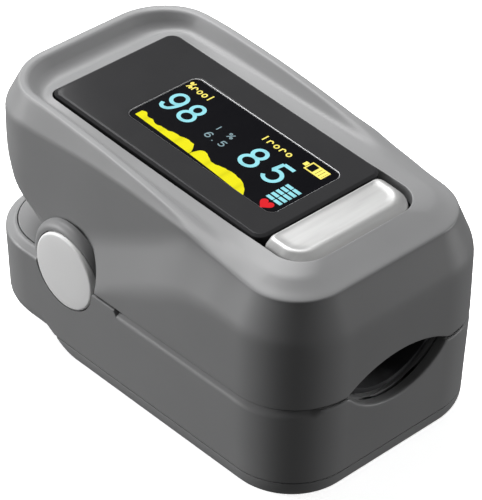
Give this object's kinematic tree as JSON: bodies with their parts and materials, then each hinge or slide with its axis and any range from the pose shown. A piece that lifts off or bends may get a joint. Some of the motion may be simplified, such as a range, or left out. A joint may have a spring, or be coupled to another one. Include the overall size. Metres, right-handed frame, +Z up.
{
  "type": "fingertip pulse oximeter",
  "caption": "Clip-on fingertip pulse oximeter: sprung clamshell with a finger channel, sloped display window, power button and battery door.",
  "frame": {"origin": "middle of the footprint (bounding box centre in X and Y) at the height of the surface it lies on", "axes": "+Z up; the finger enters at -Y and the hinge is towards +Y; X is across, the object is symmetric in X"},
  "size_m": [0.038, 0.0636, 0.0372],
  "materials": {
    "case_plastic": "satin grey ABS with a fine moulded grain",
    "door_plastic": "satin grey ABS with a fine moulded grain",
    "frame_plastic": "satin grey ABS",
    "silicone": "soft matt silicone",
    "cell_jacket": "printed jacket, plain, on a steel can",
    "cap_plastic": "light grey satin plastic",
    "steel": "bright zinc-plated steel",
    "nickel": "nickel-plated spring steel",
    "ribbon": "amber polyimide ribbon",
    "lens_gloss": "smoked gloss acrylic with a black border",
    "panel_glass": "black display glass with lit characters",
    "clear_plastic": "clear epoxy",
    "board": "green solder mask",
    "pearl_plastic": "pearl silver lacquered plastic",
    "connector_plastic": "cream nylon",
    "chip": "black moulded package"
  },
  "bodies": {
    "lower": {"lower_case": "case_plastic", "lower_frame": "frame_plastic", "lower_finger_pad": "silicone", "battery_left": "cell_jacket", "battery_right": "cell_jacket", "contact_front": "nickel", "contact_rear_left": "nickel", "contact_rear_right": "nickel", "photodiode": "chip", "sensor_window": "clear_plastic", "flex_cable": "ribbon", "hinge_pin": "steel", "torsion_spring_left": "steel", "torsion_spring_right": "steel", "hinge_cap_left": "cap_plastic", "hinge_cap_right": "cap_plastic", "lower_screw_front_left": "steel", "lower_screw_front_right": "steel", "lower_screw_rear_left": "steel", "lower_screw_rear_right": "steel"},
    "upper": {"upper_case": "case_plastic", "display_lens": "lens_gloss", "oled_panel": "panel_glass", "main_board": "board", "mcu_chip": "chip", "frontend_chip": "chip", "crystal": "nickel", "flex_connector": "connector_plastic", "tact_switch": "nickel", "upper_frame": "frame_plastic", "upper_finger_pad": "silicone", "emitter_window": "clear_plastic", "led_emitter": "clear_plastic", "emitter_board": "board", "upper_screw_front_left": "steel", "upper_screw_front_right": "steel", "upper_screw_rear_left": "steel", "upper_screw_rear_right": "steel"},
    "button": {"power_button": "pearl_plastic"},
    "door": {"battery_door": "door_plastic"}
  },
  "joints": [
    {"name": "jaw_hinge", "type": "hinge", "parent": "lower", "child": "upper", "pos_m": [0, 0.01155, 0.0157], "axis": [-1, 0, 0], "range_deg": [0, 25], "stiffness_Nm_per_rad": 0.12, "springref_deg": -40.11, "deforming": ["torsion_spring_left", "torsion_spring_right", "flex_cable"]},
    {"name": "button_press", "type": "slide", "parent": "upper", "child": "button", "axis": [0, 0, -1], "range_m": [0, 0.0004], "stiffness_N_per_m": 2500, "springref_m": -0.0004},
    {"name": "door_slide", "type": "slide", "parent": "lower", "child": "door", "axis": [0, -1, 0], "range_m": [0, 0.006]}
  ]
}
